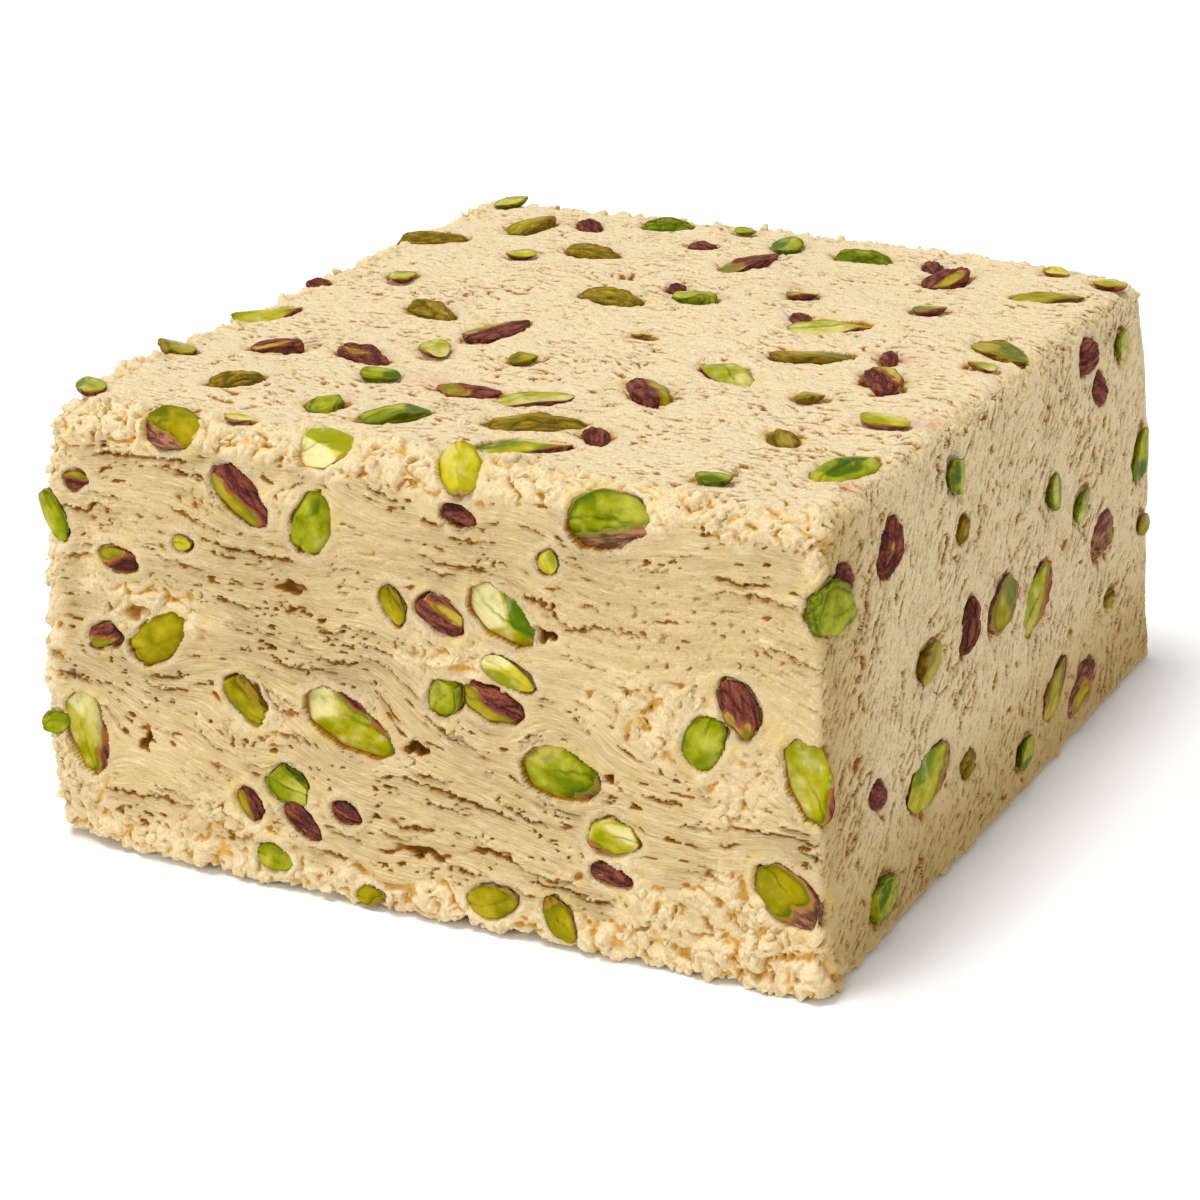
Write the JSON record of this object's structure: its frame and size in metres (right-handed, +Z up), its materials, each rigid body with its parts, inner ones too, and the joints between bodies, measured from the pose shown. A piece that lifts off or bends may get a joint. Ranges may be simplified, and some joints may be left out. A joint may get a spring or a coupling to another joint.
{
  "type": "pistachio halva block",
  "caption": "Solid block of pale, fibrous pulled sesame halva with pistachio kernels, whole, split and chopped, pressed into its faces.",
  "frame": {"origin": "on the surface the block stands on, under the middle of the block", "axes": "+X to the right along the front face, +Y from the front face to the back, +Z up"},
  "size_m": [0.1438, 0.1638, 0.0785],
  "materials": {
    "halva": "dry, crumbly pulled sesame fudge, matte, pale sand",
    "bright": "fresh cut pistachio flesh, slightly moist, yellow-green",
    "green": "whole or cut pistachio flesh, slightly moist, green",
    "olive": "pistachio kernel with thin skin over olive flesh, satin",
    "purple": "pistachio kernel in its wrinkled purple-brown skin, satin",
    "pale": "cut pistachio flesh, pale yellow-green, satin"
  },
  "bodies": {
    "root": {"halva_block": "halva", "pistachio_front_01": "purple", "pistachio_front_02": "green", "pistachio_front_03": "green", "pistachio_front_04": "purple", "pistachio_front_05": "bright", "pistachio_front_06": "purple", "pistachio_front_07": "purple", "pistachio_front_08": "green", "pistachio_front_09": "bright", "pistachio_front_10": "olive", "pistachio_front_11": "olive", "pistachio_front_12": "bright", "pistachio_front_13": "green", "pistachio_front_14": "bright", "pistachio_front_15": "green", "pistachio_front_16": "bright", "pistachio_front_17": "olive", "pistachio_brow_01": "olive", "pistachio_brow_02": "pale", "pistachio_brow_03": "pale", "pistachio_top_01": "bright", "pistachio_top_02": "olive", "pistachio_top_03": "green", "pistachio_top_04": "olive", "pistachio_top_05": "bright", "pistachio_top_06": "purple", "pistachio_top_07": "bright", "pistachio_top_08": "purple", "pistachio_top_09": "purple", "pistachio_top_10": "olive", "pistachio_top_11": "purple", "pistachio_top_12": "olive", "pistachio_top_13": "olive", "pistachio_top_14": "olive", "pistachio_top_15": "green", "pistachio_top_16": "olive", "pistachio_top_17": "green", "pistachio_top_18": "purple", "pistachio_top_19": "green", "pistachio_top_20": "purple", "pistachio_top_21": "olive", "pistachio_top_22": "bright", "pistachio_top_23": "olive", "pistachio_top_24": "bright", "pistachio_top_25": "purple", "pistachio_top_26": "purple", "pistachio_top_27": "green", "pistachio_top_28": "olive", "pistachio_right_01": "purple", "pistachio_right_02": "purple", "pistachio_right_03": "olive", "pistachio_right_04": "bright", "pistachio_right_05": "bright", "pistachio_right_06": "green", "pistachio_right_07": "olive", "pistachio_right_08": "olive", "pistachio_right_09": "green", "pistachio_right_10": "purple", "pistachio_right_11": "green"}
  },
  "joints": []
}
